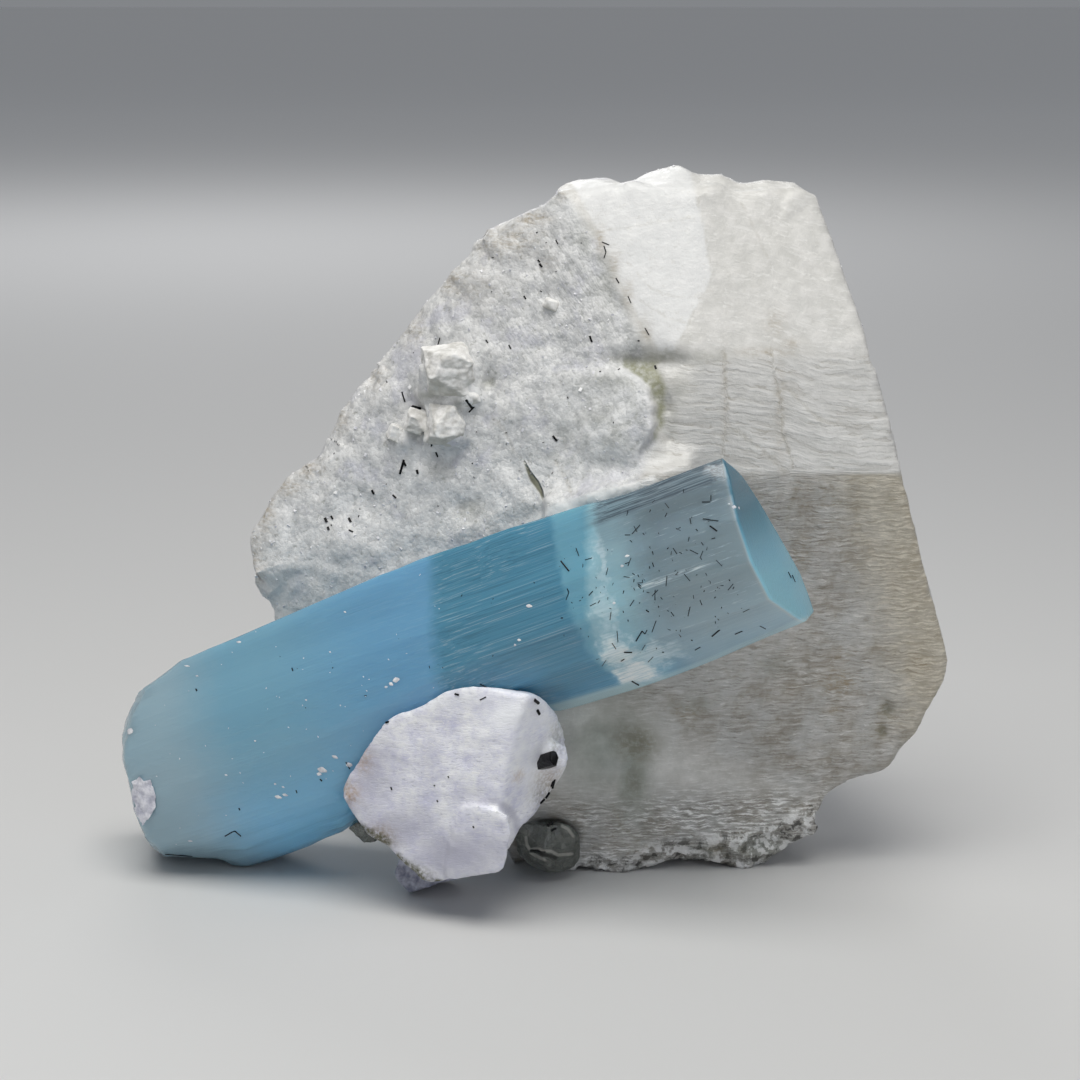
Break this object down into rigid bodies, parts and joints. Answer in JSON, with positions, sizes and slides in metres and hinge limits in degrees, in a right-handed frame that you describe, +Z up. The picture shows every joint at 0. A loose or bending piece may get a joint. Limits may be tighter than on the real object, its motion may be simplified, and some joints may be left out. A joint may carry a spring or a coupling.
{
  "type": "aquamarine crystal on feldspar matrix",
  "caption": "Long pale-blue aquamarine prism leaning across the front of a blocky white feldspar crystal, with small white feldspar, quartz and black schorl at its lower edge.",
  "frame": {"origin": "middle of the specimen's footprint, on the surface that it stands on", "axes": "+X along the specimen's width towards the aquamarine's free end, +Y from the display side towards the back, +Z up"},
  "size_m": [0.1016, 0.0642, 0.0861],
  "materials": {
    "feldspar": "opaque off-white stone, satin on crystal faces and sugary where broken",
    "aquamarine": "clear to milky blue, striated along the prism",
    "white_feldspar": "opaque white, pearly on cleavage",
    "albite": "opaque lilac-white, fine-grained",
    "quartz": "clear grey, fractured",
    "bluish_quartz": "cloudy blue-grey, chipped",
    "schorl": "opaque black, vitreous"
  },
  "bodies": {
    "root": {"feldspar_matrix": "feldspar", "aquamarine_crystal": "aquamarine", "feldspar_front_crystal": "white_feldspar", "albite_foot_crystal": "albite", "albite_crust": "albite", "quartz_crystal": "quartz", "quartz_knot": "bluish_quartz", "schorl_crystal": "schorl"}
  },
  "joints": []
}
